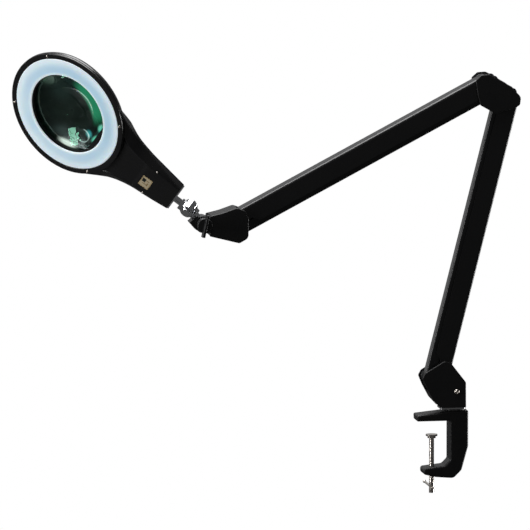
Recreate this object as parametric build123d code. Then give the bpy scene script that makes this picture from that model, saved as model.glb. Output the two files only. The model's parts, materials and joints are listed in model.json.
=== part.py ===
from build123d import *
import math
import os

# Magnifying task lamp on a table clamp. Millimetres, +Z up.
# The origin is on the clamp screw's axis, on the face of the upper jaw that
# bears on the table. The two arms lie in the XZ plane, and the head is at -X.

# ---- driving dimensions -------------------------------------------------
PIVOT_SPAN = 390.0          # pivot to pivot, both arms
LINK_OFFSET = 20.0          # distance between the two pins of one knuckle
LOWER_LEAN = 14.2           # lower arm from vertical, towards +X
UPPER_DROP = 27.5           # upper arm below horizontal
LOWER_LINK_ANGLE = 218.0    # direction of the second pin from the first, lower arm
UPPER_LINK_ANGLE = 250.2    # the same, upper arm

POST_X = 32.0               # axis that the whole lamp swivels on
BASE_PIVOT = (10.7, 67.0)   # first pin of the base knuckle, X and Z
ELBOW_STEP = (-26.3, 17.8)  # from the lower arm's top pin to the upper arm's pin

CHANNEL_WIDTH = 26.0        # broad channel, across the arm's plane
CHANNEL_HALF = 13.0         # its web and its free edge from the pivot line
CHANNEL_WALL = 1.5
CHANNEL_CORNER = 4.0
LINK_WIDTH = 20.0           # narrow link, nested inside the channel
LINK_WEB = 7.0              # its web from its pivot line
LINK_EDGE = 6.0             # its free edge from its pivot line
LINK_WALL = 1.2
ARM_PIN_R = 2.5
LINK_PIN_R = 2.0
RUNNING = 0.05              # radial clearance of a running fit

PLATE_INNER = 13.6          # steel side plates of each knuckle
PLATE_WALL = 1.5
COVER_INNER = 16.0
COVER_OUTER = 18.0          # outside of the moulded covers
COVER_WALL = 2.0
COVER_GAP = 0.1             # from each cover's rim to the middle plane

YOKE_PIVOT = (-316.6, 277.2)
STUB_DROP = 49.2            # stub axis below horizontal
STUB_REACH = 28.0           # yoke pivot to the pan axis
HEAD_SWIVEL = 45.0          # turn of the stub from facing -Y
HEAD_PAN = 17.3             # turn of the neck about the pan axis
NECK_BEND = 11.0            # bend between the ring and the neck
NECK_REACH = 24.0           # pan axis to the end of the neck
NECK_RUN = 95.0             # bend to the end of the neck
RING_TO_BEND = 91.0
NECK_FRONT = -4.5           # front of the neck, behind the ring's face
NECK_DEPTH = 15.0
NECK_BACK = NECK_FRONT - NECK_DEPTH
NECK_MIDDLE = -9.0          # height of the pan knuckle's middle at the end of the neck
NECK_END_HALF = 22.0

RING_R = 90.5               # outside of the head's ring
DIFFUSER_OUT = 82.5
DIFFUSER_IN = 58.7
LENS_R = 59.5
LENS_CURVE = 208.0          # both faces of a five dioptre lens
LENS_EDGE = 2.5
LENS_MID = -10.0            # middle of the lens, behind the ring's face
TUBE_OUT = 62.0             # tube that the lens sits in
TUBE_IN = 60.2
SHELL_WALL = 2.0
SEAM = -8.0                 # joint between the head's two shells

# ---- directions and frames ----------------------------------------------


def direction(angle):
    """Unit vector in the arm plane, degrees from +X towards +Z."""
    return Vector(math.cos(math.radians(angle)), 0, math.sin(math.radians(angle)))


def place(point, angle, distance):
    """The X and Z that lie this far from a point, in this direction."""
    step = direction(angle) * distance
    return (point[0] + step.X, point[1] + step.Z)


LOWER_ANGLE = 90.0 - LOWER_LEAN
UPPER_ANGLE = 180.0 + UPPER_DROP

PIN_A = BASE_PIVOT
PIN_B = place(PIN_A, LOWER_LINK_ANGLE, LINK_OFFSET)
PIN_C = place(PIN_A, LOWER_ANGLE, PIVOT_SPAN)
PIN_D = place(PIN_C, LOWER_LINK_ANGLE, LINK_OFFSET)
PIN_E = (PIN_C[0] + ELBOW_STEP[0], PIN_C[1] + ELBOW_STEP[1])
PIN_F = place(PIN_E, UPPER_LINK_ANGLE, LINK_OFFSET)
PIN_G = place(PIN_E, UPPER_ANGLE, PIVOT_SPAN)
PIN_H = place(PIN_G, UPPER_LINK_ANGLE, LINK_OFFSET)

STUB_DIR = direction(-STUB_DROP)
PAN_CENTRE = Vector(YOKE_PIVOT[0], 0, YOKE_PIVOT[1]) - STUB_DIR * STUB_REACH
PAN_AXIS = Vector(0, -1, 0).rotate(Axis((0, 0, 0), STUB_DIR), HEAD_SWIVEL)
NECK_DIR = STUB_DIR.rotate(Axis((0, 0, 0), PAN_AXIS), HEAD_PAN)
SIDE_DIR = PAN_AXIS.cross(NECK_DIR)
FACE_NORMAL = PAN_AXIS.rotate(Axis((0, 0, 0), SIDE_DIR), -NECK_BEND)
HEAD_DIR = NECK_DIR.rotate(Axis((0, 0, 0), SIDE_DIR), -NECK_BEND)
BEND_POINT = PAN_CENTRE - NECK_DIR * (NECK_REACH + NECK_RUN) - PAN_AXIS * NECK_MIDDLE
RING_CENTRE = BEND_POINT - HEAD_DIR * RING_TO_BEND

# Local X runs from the ring to the neck, local Z is the way that the face looks.
HEAD_FRAME = Plane(origin=RING_CENTRE, x_dir=HEAD_DIR, z_dir=FACE_NORMAL).location
PAN_FRAME = Plane(origin=PAN_CENTRE, x_dir=NECK_DIR, z_dir=PAN_AXIS).location
STUB_FRAME = Plane(origin=PAN_CENTRE, x_dir=STUB_DIR, z_dir=PAN_AXIS).location

# ---- helpers ------------------------------------------------------------

NODES = {}


def keep(name, *solids):
    """Record a node made of one or more separate solids."""
    parts = []
    for solid in solids:
        parts.extend(solid.solids())
    NODES[name] = Compound(children=parts) if len(parts) > 1 else parts[0]


def outline(points, radius):
    """Closed face in the XZ plane, with its corners rounded."""
    corners = [(x, 0, z) for x, z in points]
    return make_face(FilletPolyline(*corners, radius=radius, close=True))


def across(face, low, high):
    """Solid with this XZ outline, between two places across the arm plane."""
    return extrude(Pos(0, low, 0) * face, amount=high - low, dir=(0, 1, 0))


def rod(point, radius, low, high):
    """Cylinder along Y."""
    start = Pos(point[0], low, point[1]) * Rot(-90, 0, 0)
    return start * Cylinder(radius, high - low, align=(Align.CENTER, Align.CENTER, Align.MIN))


def ring(point, outer, inner, low, high):
    """Washer or tube along Y."""
    return rod(point, outer, low, high) - rod(point, inner, low - 1, high + 1)


def post(x, y, radius, low, high):
    """Cylinder along Z."""
    return Pos(x, y, low) * Cylinder(radius, high - low, align=(Align.CENTER, Align.CENTER, Align.MIN))


def block(x, y, z):
    """Box from its low and high limits on each axis."""
    size = (x[1] - x[0], y[1] - y[0], z[1] - z[0])
    return Pos((x[0] + x[1]) / 2, (y[0] + y[1]) / 2, (z[0] + z[1]) / 2) * Box(*size)


def pin(point, radius, half, head_height=0.8):
    """Pivot pin with a low head at each end, along Y."""
    head = radius + 1.2
    shank = rod(point, radius, -half, half)
    return shank + rod(point, head, -half - head_height, -half) + rod(point, head, half, half + head_height)


def both_sides(solid):
    """A solid and its mirror image in the arm plane."""
    return [solid, mirror(solid, about=Plane.XZ)]


# ---- clamp --------------------------------------------------------------

JAW_HALF = 15.0
CLAMP_TOP = 14.0
BUSH_R = 7.6
POST_R = 6.0
POST_DEPTH = -30.0
SCREW_R = 3.5
THREAD_ROOT_R = 3.15
THREAD_FOOT = -86.0         # where the thread gives way to the plain head of the screw
SCREW_END = -100.0
PAD_TOP = -19.5
PAD_R = 8.0
TOMMY_Z = -92.5
TOMMY_R = 1.6
SADDLE_TOP = 16.0


def make_clamp_frame():
    """Cast C frame: flat upper jaw, deep spine, short lower jaw with the tapped hole."""
    back = [(-22.5, 0), (-23.0, 8.6), (12, 12.2), (22, CLAMP_TOP), (48.3, CLAMP_TOP), (48.3, -34.8)]
    foot = [(39.1, -68.0), (28.0, -79.0), (4.0, -77.0), (-13.5, -73.0), (-13.5, -64.5)]
    throat = [(15.5, -61.4), (22.9, -54.0), (22.9, 0)]
    radii = [2, 2, 2, 2, 2, 6, 8, 8, 6, 4, 3.5, 6, 4.5, 1.5]
    frame = across(outline(back + foot + throat, radii), -JAW_HALF, JAW_HALF)
    frame -= post(POST_X, 0, BUSH_R, POST_DEPTH - 2, CLAMP_TOP + 5)
    frame -= post(0, 0, SCREW_R + RUNNING, -90, -50)
    tips = [e for e in frame.edges().filter_by(Axis.Z) if e.center().X < -20 or e.center().X > 47]
    return fillet(tips, 3.0)


def make_swivel_bush():
    """Flanged nylon bush: its flange carries the lamp and its bore guides the post."""
    flange = post(POST_X, 0, 14.5, CLAMP_TOP, SADDLE_TOP)
    sleeve = post(POST_X, 0, BUSH_R, POST_DEPTH - 2, CLAMP_TOP)
    return flange + sleeve - post(POST_X, 0, POST_R + RUNNING, POST_DEPTH - 1, SADDLE_TOP + 1)


def make_pad():
    """Pressure pad with the socket that the screw's tip turns in."""
    disc = post(0, 0, PAD_R, PAD_TOP - 2.2, PAD_TOP)
    cup = post(0, 0, 5.6, PAD_TOP - 5.2, PAD_TOP - 2.2)
    return disc + cup - post(0, 0, SCREW_R - 0.7, PAD_TOP - 6, PAD_TOP - 1.2)


def make_screw():
    """Clamp screw with a turned-down tip and a cross hole for the bar."""
    shank = post(0, 0, SCREW_R, SCREW_END, THREAD_FOOT)
    shank += post(0, 0, THREAD_ROOT_R, THREAD_FOOT, PAD_TOP - 5.5)
    tip = post(0, 0, SCREW_R - 0.75, PAD_TOP - 5.5, PAD_TOP - 1.4)
    return shank + tip - rod((0, TOMMY_Z), TOMMY_R + RUNNING, -10, 10)


def make_tommy_bar():
    """Sliding bar with a pressed bead at each end."""
    bar = rod((0, TOMMY_Z), TOMMY_R, -8.5, 52.0)
    for y in (-8.5, 52.0):
        bar += Pos(0, y, TOMMY_Z) * Sphere(2.3)
    return bar


keep("clamp_frame", make_clamp_frame())
keep("swivel_bush", make_swivel_bush())
keep("pressure_pad", make_pad())
keep("clamp_screw", make_screw())
keep("tommy_bar", make_tommy_bar())

# ---- arms ---------------------------------------------------------------


def arm_frame(start, angle, web_side):
    """Local X along the arm, local Z towards the broad channel's web."""
    along = direction(angle)
    web = direction(angle + 90 * web_side)
    return Plane(origin=(start[0], 0, start[1]), x_dir=along, z_dir=web).location


LOWER_FRAME = arm_frame(PIN_A, LOWER_ANGLE, -1)
LOWER_LINK_FRAME = arm_frame(PIN_B, LOWER_ANGLE, -1)
UPPER_FRAME = arm_frame(PIN_E, UPPER_ANGLE, -1)
UPPER_LINK_FRAME = arm_frame(PIN_F, UPPER_ANGLE, -1)
SPRING_AT = (60.0, 238.0)   # hooked ends of the balance spring, along the arm
SPRING_PIN_R = 1.5
SPRING_R = 4.2


def end_points(start, sense):
    """One end of the broad channel's side: round at the pin, cut back at the free edge."""
    shape = [(23.5, -13.0), (14.5, -4.4), (5.0, -9.4), (-5.0, -9.4), (-10.0, -3.0), (-9.0, 5.0), (6.0, 13.0)]
    return [(start + sense * x, z) for x, z in shape]


def make_channel():
    """Broad steel channel, folded from sheet, open towards the narrow link."""
    ends = end_points(0, 1) + end_points(PIVOT_SPAN, -1)[::-1]
    radii = ([6, 3, 5, 5, 5, 5, 2] + [2, 5, 5, 5, 5, 3, 6])
    side = outline(ends, radii)
    bar = block((-12, PIVOT_SPAN + 12), (-CHANNEL_HALF, CHANNEL_HALF), (-CHANNEL_HALF, CHANNEL_HALF))
    long_edges = bar.edges().filter_by(Axis.X).group_by(Axis.Z)[-1]
    bar = fillet(long_edges, CHANNEL_CORNER)
    inner = CHANNEL_HALF - CHANNEL_WALL
    hollow = block((-14, PIVOT_SPAN + 14), (-inner, inner), (-CHANNEL_HALF - 5, inner))
    hollow = fillet(hollow.edges().filter_by(Axis.X).group_by(Axis.Z)[-1], CHANNEL_CORNER - CHANNEL_WALL)
    channel = (bar - hollow) & across(side, -CHANNEL_HALF - 1, CHANNEL_HALF + 1)
    for x in (0, PIVOT_SPAN):
        channel -= rod((x, 0), ARM_PIN_R + RUNNING, -15, 15)
    channel -= rod((SPRING_AT[1], -1), SPRING_PIN_R, -15, 15)
    return channel


def make_link():
    """Narrow steel link, folded from sheet, its web on the open side of the channel."""
    low = -LINK_WEB
    first = [(3.0, low), (-5.5, -3.0), (-5.5, 4.0), (0, LINK_EDGE)]
    last = [(PIVOT_SPAN, LINK_EDGE), (PIVOT_SPAN + 5.5, 4.0), (PIVOT_SPAN + 5.5, -3.0), (PIVOT_SPAN - 3, low)]
    side = outline(first + last, [1.5, 3, 2, 2, 2, 2, 3, 1.5])
    half = LINK_WIDTH / 2
    inner = half - LINK_WALL
    bar = block((-8, PIVOT_SPAN + 8), (-half, half), (low, LINK_EDGE))
    bar = fillet(bar.edges().filter_by(Axis.X).group_by(Axis.Z)[0], 2.5)
    hollow = block((-9, PIVOT_SPAN + 9), (-inner, inner), (low + LINK_WALL, LINK_EDGE + 5))
    hollow = fillet(hollow.edges().filter_by(Axis.X).group_by(Axis.Z)[0], 1.3)
    link = (bar - hollow) & across(side, -half - 1, half + 1)
    for x in (0, PIVOT_SPAN):
        link -= rod((x, 0), LINK_PIN_R + RUNNING, -15, 15)
    link -= rod((SPRING_AT[0], 3), SPRING_PIN_R, -15, 15)
    return link


def make_spring(frame, link_frame):
    """Balance spring as one closed tube, with a hook round the pin at each end."""
    top = (frame * Pos(SPRING_AT[1], 0, -1)).position
    foot = (link_frame * Pos(SPRING_AT[0], 0, 3)).position
    run = top - foot
    line = Plane(origin=foot, x_dir=(0, 1, 0), z_dir=run).location
    tube = Cylinder(SPRING_R, run.length - 18, align=(Align.CENTER, Align.CENTER, Align.MIN))
    tube -= Cylinder(SPRING_R - 1, run.length, align=(Align.CENTER, Align.CENTER, Align.MIN))
    spring = line * Pos(0, 0, 9) * tube
    for near, end, sense in ((0.0, foot, 1), (run.length, top, -1)):
        wire = Pos(0, 0, near + sense * 6.4) * Box(1.2, 2 * SPRING_R - 1, 1.2)
        wire += Pos(0, 0, near + sense * 6.4) * Box(1.2, 1.2, 8.4)
        for y in (-SPRING_R + 0.6, SPRING_R - 0.6):
            wire += Pos(0, y, near + sense * 8.2) * Box(1.2, 1.2, 4.8)
        spring += line * wire
        spring += ring((end.X, end.Z), SPRING_PIN_R + 1.4, SPRING_PIN_R + 0.3, -0.6, 0.6)
    return spring


def make_arm(name, frame, link_frame):
    """One arm: broad channel, narrow link, the spring and its two anchor pins."""
    keep(name + "_channel", frame * make_channel())
    keep(name + "_link", link_frame * make_link())
    keep(name + "_spring", make_spring(frame, link_frame))
    keep(name + "_spring_anchor", frame * rod((SPRING_AT[1], -1), SPRING_PIN_R, -CHANNEL_HALF, CHANNEL_HALF))
    link_half = LINK_WIDTH / 2
    keep(name + "_link_anchor", link_frame * rod((SPRING_AT[0], 3), SPRING_PIN_R, -link_half, link_half))


make_arm("lower", LOWER_FRAME, LOWER_LINK_FRAME)
make_arm("upper", UPPER_FRAME, UPPER_LINK_FRAME)

# ---- knuckles -----------------------------------------------------------


PLATE_INSET = 3.0           # side plates inside the outline of their covers


def plate_face(face, inset):
    """The outline of a side plate, inside the outline of its cover."""
    return offset(face, amount=-inset, kind=Kind.INTERSECTION)


def make_plates(face, pins, inner=PLATE_INNER, wall=PLATE_WALL):
    """The two steel side plates of a knuckle, with their pin holes."""
    plate = across(plate_face(face, PLATE_INSET), -inner - wall, -inner)
    for point, radius in pins:
        plate -= rod(point, radius, -30, 0)
    return both_sides(plate)


def make_cover(face, rim_zones, outer=COVER_OUTER, inner=COVER_INNER):
    """Near moulded cover: a side wall, and a rim where no arm passes."""
    wall = across(face, -outer, -inner)
    wall = fillet(wall.faces().sort_by(Axis.Y)[0].edges(), 1.2)
    inside = plate_face(face, COVER_WALL)
    rim = across(face, -inner, -COVER_GAP) - across(inside, -inner - 1, 1)
    for zone in rim_zones:
        wall += rim & across(outline(zone, 0.5), -inner, 0)
    return wall


def keep_covers(name, near):
    """Both covers of a knuckle."""
    near_cover, far_cover = both_sides(near)
    keep(name + "_cover_near", near_cover)
    keep(name + "_cover_far", far_cover)


BASE_POINTS = [(-11.9, 67), (15, 83), (23.8, 79.5), (44.3, 53), (44.5, 18.4), (9.5, 18.4), (-1.7, 30.4), (-11, 48),
               (-15.9, 60)]
BASE_FACE = outline(BASE_POINTS, [2, 5, 5, 3, 1.5, 4, 6, 6, 4])
BASE_SCREW = (31.5, 40.5)
FOOT_LOW = 16.1
FOOT_HIGH = 18.1
CORD_HOLE = (17.0, 32.0)


def make_base_bracket():
    """Steel bracket: a foot plate with the two side plates rising from it."""
    plates = make_plates(BASE_FACE, [(PIN_A, ARM_PIN_R), (PIN_B, LINK_PIN_R), (BASE_SCREW, 1.6)])
    reach = PLATE_INNER + PLATE_WALL
    foot = block((10, 44), (-reach, reach), (FOOT_LOW, FOOT_HIGH))
    foot = fillet(foot.edges().filter_by(Axis.Z), 3)
    bracket = foot
    for plate, side in zip(plates, (-1, 1)):
        low, high = sorted((side * PLATE_INNER, side * reach))
        bracket += plate + block((12, 41), (low, high), (FOOT_HIGH - 1, 24))
    bracket -= post(POST_X, 0, 4.0, 0, 30)
    return bracket - rod(CORD_HOLE, 4.0, 0, 30)


def make_base_post():
    """Steel post that drops into the clamp, riveted into the foot plate."""
    shank = post(POST_X, 0, POST_R, POST_DEPTH, FOOT_LOW)
    neck = post(POST_X, 0, 4.0, FOOT_LOW, FOOT_HIGH)
    return shank + neck + post(POST_X, 0, 6.5, FOOT_HIGH, FOOT_HIGH + 2)


def make_base_boss():
    """Spacer that both cover screws thread into."""
    return ring(BASE_SCREW, 4.0, 1.6, -PLATE_INNER, PLATE_INNER)


def cover_screw(point):
    """Pan head screw with a cross recess, in the near cover."""
    head = rod(point, 3.6, -COVER_OUTER - 1.8, -COVER_OUTER)
    head = fillet(head.faces().sort_by(Axis.Y)[0].edges(), 1.4)
    for turn in (30, 120):
        slot = Pos(point[0], -COVER_OUTER - 1.6, point[1]) * Rot(0, turn, 0) * Box(4.2, 1.6, 0.9)
        head -= slot
    return head + rod(point, 1.6, -COVER_OUTER, -8)


def make_base():
    zones = [[(10, 30), (60, 30), (60, 71), (10, 71)], [(-9, 22), (8, 22), (8, 40), (-9, 40)],
             [(38, 21), (60, 21), (60, 31), (38, 31)]]
    near = make_cover(BASE_FACE, zones) - rod(BASE_SCREW, 1.6, -30, 0)
    far = mirror(near, about=Plane.XZ) - rod(CORD_HOLE, 4.0, 0, 30)
    keep("base_cover_near", near)
    keep("base_cover_far", far)
    keep("base_bracket", make_base_bracket())
    keep("base_post", make_base_post())
    keep("base_spacer", make_base_boss())
    keep("base_cover_screws", *both_sides(cover_screw(BASE_SCREW)))
    keep("base_pins", pin(PIN_A, ARM_PIN_R, 15.1), pin(PIN_B, LINK_PIN_R, 15.1))
    gland = ring(CORD_HOLE, 4.0, 2.6, 13.0, 18.0) + ring(CORD_HOLE, 5.6, 2.6, 18.0, 21.0)
    keep("cord_gland", gland)


ELBOW_POINTS = [(56.5, 465.2), (64.5, 472.2), (76.0, 472.9), (104.4, 456.4), (119.3, 441), (117.8, 430.3),
                (112.3, 426.7), (84.5, 418.6), (63.1, 430.8), (59.6, 444)]
ELBOW_SHIFT = (0.6, 1.0)
ELBOW_FACE = outline([(x + ELBOW_SHIFT[0], z + ELBOW_SHIFT[1]) for x, z in ELBOW_POINTS],
                     [3, 4, 8, 16, 8, 3, 3, 1.5, 2.5, 5])
ELBOW_SPACER = (93.5, 455.5)
ELBOW_PLATE = 13.4          # the elbow is slimmer than the other knuckles
ELBOW_INNER = 15.2
ELBOW_OUTER = 17.0


def make_elbow():
    pins = [(PIN_C, ARM_PIN_R), (PIN_D, LINK_PIN_R), (PIN_E, ARM_PIN_R), (PIN_F, LINK_PIN_R)]
    plates = make_plates(ELBOW_FACE, pins + [(ELBOW_SPACER, 1.6)], ELBOW_PLATE, 1.2)
    keep("elbow_plates", *plates)
    keep("elbow_spacer", ring(ELBOW_SPACER, 3.4, 1.6, -ELBOW_PLATE, ELBOW_PLATE))
    zone = [(91.5, 452), (91.5, 480), (99.5, 480), (99.5, 452)]
    keep_covers("elbow", make_cover(ELBOW_FACE, [zone], ELBOW_OUTER, ELBOW_INNER))
    keep("elbow_pins", *[pin(point, radius, ELBOW_PLATE + 1.2, 0.5) for point, radius in pins])


END_POINTS = [(-309, 289), (-291, 293.2), (-272, 299.6), (-259.4, 295), (-255.6, 285), (-255.6, 258),
              (-268, 251), (-309, 261.5)]
END_FACE = outline(END_POINTS, [1.5, 2, 6, 5, 6, 8, 5, 2])
EAR_R = 9.5
HUB_R = 11.5
BOLT_R = 3.0
END_SPACER = (-291.0, 276.0)


def make_end():
    plate_outline = plate_face(END_FACE, PLATE_INSET) + outline(
        [(-300, 287), (-300, 266), (-316.6, 267.7), (-326.1, 277.2), (-316.6, 286.7)], [1, 1, 6, 6, 6])
    plate = across(plate_outline, -PLATE_INNER - PLATE_WALL, -PLATE_INNER)
    pins = [(PIN_G, ARM_PIN_R), (PIN_H, LINK_PIN_R), (END_SPACER, 1.6), (YOKE_PIVOT, BOLT_R + RUNNING)]
    for point, radius in pins:
        plate -= rod(point, radius, -30, 0)
    keep("end_plates", *both_sides(plate))
    keep("end_spacer", ring(END_SPACER, 3.4, 1.6, -PLATE_INNER, PLATE_INNER))
    top = [(-306.5, 283), (-306.5, 305), (-271, 305), (-271, 283)]
    bottom = [(-306.5, 268), (-306.5, 250), (-284, 250), (-284, 268)]
    keep_covers("end", make_cover(END_FACE, [top, bottom]))
    keep("end_pins", pin(PIN_G, ARM_PIN_R, 15.1), pin(PIN_H, LINK_PIN_R, 15.1))


make_base()
make_elbow()
make_end()

# ---- yoke, wing knob and stub -------------------------------------------

KNUCKLE_R = 9.5
KNUCKLE_DEPTH = 9.0
KNUCKLE_GAP = 0.12
STUB_R = 6.0
YOKE_START = 13.6
BLADE_TILT = 13.0           # wing blade from vertical


def make_yoke():
    """Black yoke: a hub on the tilt bolt and a block split open along the stub."""
    hub = rod(YOKE_PIVOT, HUB_R, -PLATE_INNER + 0.8, PLATE_INNER - 0.8)
    body = block((YOKE_START, STUB_REACH), (-10.0, 10.0), (-12.0, 1.2))
    in_plane = Plane(origin=PAN_CENTRE, x_dir=STUB_DIR, z_dir=direction(90 - STUB_DROP)).location
    yoke = hub + in_plane * body
    from_base = (Align.CENTER, Align.CENTER, Align.MIN)
    bore = Rot(0, 90, 0) * Cylinder(STUB_R + RUNNING, STUB_REACH - 4.3, align=from_base)
    yoke -= in_plane * bore
    return yoke - rod(YOKE_PIVOT, BOLT_R + RUNNING, -20, 20)


def make_wing_knob():
    """Moulded wing knob: a round boss with one flat blade across it."""
    boss = rod(YOKE_PIVOT, 10.3, -25.5, -18.3)
    boss = fillet(boss.faces().sort_by(Axis.Y)[0].edges(), 1.5)
    hub = rod(YOKE_PIVOT, 5.5, -18.3, -15.3)
    blade = Pos(YOKE_PIVOT[0], -29.5, YOKE_PIVOT[1]) * Rot(0, BLADE_TILT, 0) * Box(4.0, 11.0, 31.0)
    blade = fillet(blade.edges().filter_by(lambda e: e.center().Y < -34.7), 1.2)
    return boss + hub + blade - rod(YOKE_PIVOT, BOLT_R, -20, 0)


def half_knuckle(side, shank_from, shank_to, shank_r):
    """One half of the pan knuckle: a flat disc with a shank, side +1 or -1 of the split."""
    low, high = sorted((side * KNUCKLE_GAP, side * KNUCKLE_DEPTH))
    disc = Pos(0, 0, low) * Cylinder(KNUCKLE_R, high - low, align=(Align.CENTER, Align.CENTER, Align.MIN))
    disc = chamfer(disc.faces().sort_by(Axis.Z)[-1 if side > 0 else 0].edges(), 0.8)
    z_low, z_high = sorted((-side * 4.5, side * (KNUCKLE_DEPTH - 1.0)))
    heel_end = shank_from + math.copysign(3.2, shank_to - shank_from)
    heel = block(sorted((shank_from, heel_end)), (-5, 5), (z_low, z_high))
    root_low, root_high = sorted((side * KNUCKLE_GAP, side * (KNUCKLE_DEPTH - 1.0)))
    root = block(sorted((0, shank_from)), (-5, 5), (root_low, root_high))
    length = abs(shank_to - shank_from) - 1
    start = min(shank_to, shank_from + math.copysign(1, shank_to - shank_from))
    from_base = (Align.CENTER, Align.CENTER, Align.MIN)
    shank = Pos(start, 0, 0) * Rot(0, 90, 0) * Cylinder(shank_r, length, align=from_base)
    hole = Pos(0, 0, -20) * Cylinder(BOLT_R + RUNNING, 40, align=(Align.CENTER, Align.CENTER, Align.MIN))
    return disc + root + heel + shank - hole


def make_pan_bolt():
    """Bolt that clamps the two halves: domed head in front, hexagon nut behind."""
    shank = Pos(0, 0, -14) * Cylinder(BOLT_R, 24, align=(Align.CENTER, Align.CENTER, Align.MIN))
    head = Pos(0, 0, KNUCKLE_DEPTH + 0.05) * Cylinder(6.0, 2.6, align=(Align.CENTER, Align.CENTER, Align.MIN))
    head = fillet(head.faces().sort_by(Axis.Z)[-1].edges(), 1.2)
    nut = extrude(Pos(0, 0, -KNUCKLE_DEPTH - 4.5) * RegularPolygon(5.5, 6), amount=4.4)
    return [head + shank + nut]


keep("tilt_yoke", make_yoke())
keep("wing_knob", make_wing_knob())
keep("tilt_bolt", rod(YOKE_PIVOT, BOLT_R, -20.0, 21.0))
hexagon = Pos(YOKE_PIVOT[0], 15.3, YOKE_PIVOT[1]) * Rot(-90, 0, 0) * RegularPolygon(6.0, 6)
keep("tilt_nut", extrude(hexagon, amount=4.7, dir=(0, 1, 0)) - rod(YOKE_PIVOT, BOLT_R + RUNNING, 10, 25))
washers = [ring(YOKE_PIVOT, 9.5, BOLT_R + RUNNING, y, y + 0.6) for y in (-PLATE_INNER + 0.1, PLATE_INNER - 0.7)]
keep("tilt_washers", *washers)
keep("pan_knuckle_lower", STUB_FRAME * half_knuckle(-1, 10.0, STUB_REACH - 4.5, STUB_R))
keep("pan_knuckle_upper", PAN_FRAME * half_knuckle(1, -10.0, -NECK_REACH + 2.0, 4.6))
keep("pan_bolt", *[PAN_FRAME * solid for solid in make_pan_bolt()])

# ---- head ---------------------------------------------------------------

NECK_HALF_WIDTHS = [(40, 81.5), (58, 70), (74, 58.9), (98, 45.4), (126, 35.5), (150, 29.9)]
NECK_END = RING_TO_BEND + NECK_RUN
PLATE_THICK = 2.0


def revolved(points):
    """Ring with this section, radius and height, about the head's own axis."""
    wire = [(r, 0, z) for r, z in points]
    section = make_face(Polyline(*wire, close=True))
    return revolve(section, axis=Axis.Z)


def neck_outline(shrink, end):
    """Flat plan of the neck, from inside the ring to its end."""
    side = [(x, y - shrink) for x, y in NECK_HALF_WIDTHS] + [(end, NECK_END_HALF - shrink)]
    top = Spline(*[(x, y) for x, y in side])
    low = Spline(*[(x, -y) for x, y in reversed(side)])
    tip = Line((end, NECK_END_HALF - shrink), (end, -NECK_END_HALF + shrink))
    back = Line((side[0][0], -side[0][1]), (side[0][0], side[0][1]))
    return make_face(top + tip + low + back)


FLARE_BACK = [(44, 0), (60, 2.5), (70, 6.0), (78, 10.5), (90, 14.0)]


def neck_solid(shrink, low, high, end):
    """The neck, bent where it leaves the ring, its back edges rounded off beside the ring."""
    plan = extrude(Pos(0, 0, low) * neck_outline(shrink, end), amount=high - low)
    back = [(y - shrink, low + rise) for y, rise in FLARE_BACK]
    section = back + [(90, high + 1), (-90, high + 1)] + [(-y, z) for y, z in reversed(back)]
    sides = make_face(Polyline(*[(0, y, z) for y, z in section], close=True))
    plan &= extrude(sides, amount=300, dir=(1, 0, 0))
    half = NECK_BEND / 2
    bend = Pos(RING_TO_BEND, 0, 0)
    wide = Box(400, 400, 200, align=(Align.MAX, Align.CENTER, Align.CENTER))
    flat = plan & (bend * Rot(0, half, 0) * wide)
    other = Box(400, 400, 200, align=(Align.MIN, Align.CENTER, Align.CENTER))
    bent = (bend.inverse() * plan) & (Rot(0, -half, 0) * other)
    return flat + bend * Rot(0, NECK_BEND, 0) * bent


def head_outside():
    """Outside of both shells together."""
    section = [(TUBE_IN, 0), (RING_R - 0.6, 0), (RING_R, -0.6), (RING_R, -5.5), (88.5, -10.0), (82.5, -13.0),
               (72.0, -17.0), (66.0, -19.5), (TUBE_IN, -19.5)]
    return revolved(section) + (neck_solid(0, NECK_BACK, NECK_FRONT, NECK_END)
                                - post(0, 0, TUBE_OUT, -40, 10))


def head_inside():
    """Hollow between the shells."""
    wall = SHELL_WALL
    section = [(TUBE_OUT, -2.2), (88.5, -2.2), (88.5, -5.4), (86.8, -9.2), (81.8, -10.9), (71.3, -15.0),
               (65.7, -17.5), (TUBE_OUT, -17.5)]
    low = NECK_BACK + wall
    return revolved(section) + (neck_solid(wall, low, NECK_FRONT - wall - 1.2, NECK_END - wall)
                                - post(0, 0, TUBE_OUT, -40, 10))


def seam_tool():
    """Everything in front of the seam, flat over the ring and bent along the neck."""
    tilt = math.radians(NECK_BEND)
    run = 150.0
    far = (RING_TO_BEND + run * math.cos(tilt), SEAM - run * math.sin(tilt))
    points = [(-200, 0, SEAM), (RING_TO_BEND, 0, SEAM), (far[0], 0, far[1]), (far[0], 0, 60), (-200, 0, 60)]
    face = make_face(Polyline(*points, close=True))
    return extrude(Pos(0, -150, 0) * face, amount=300, dir=(0, 1, 0))


def recess_panel():
    """Shallow panel sunk in the front of the neck, behind the ring."""
    panel = extrude(Pos(0, 0, NECK_FRONT - 1.2) * make_face(Polyline(
        (88, 33), (130, 24.4), (130, -24.4), (88, -33), close=True)), amount=5)
    return panel - post(0, 0, RING_R + 3, -20, 20)


REAR_SHELL_BACK = -17.5     # inside face of the rear shell
LENS_SEAT = (-14.6, -12.6)  # lip that the lens and its gasket sit on
SCREW_HOLE_R = 1.0
COVER_PIN = (68.0, -23.0)   # hinge of the lens cover, from the head's axis and from its face
COVER_PIN_R = 1.0
COVER_LOW = -22.6
COVER_HIGH = -20.2
RIM_SCREW_ANGLES = (37, -37, 142.4, -142.4)
RIM_SCREW_R = 86.5
NECK_SCREWS = [(147, 23.4), (147, -23.4)]
BUTTONS = {"power_button": (112.0, 5.0), "dimmer_button": (134.0, 4.0)}
BUTTON_PROUD = 1.5


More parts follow.
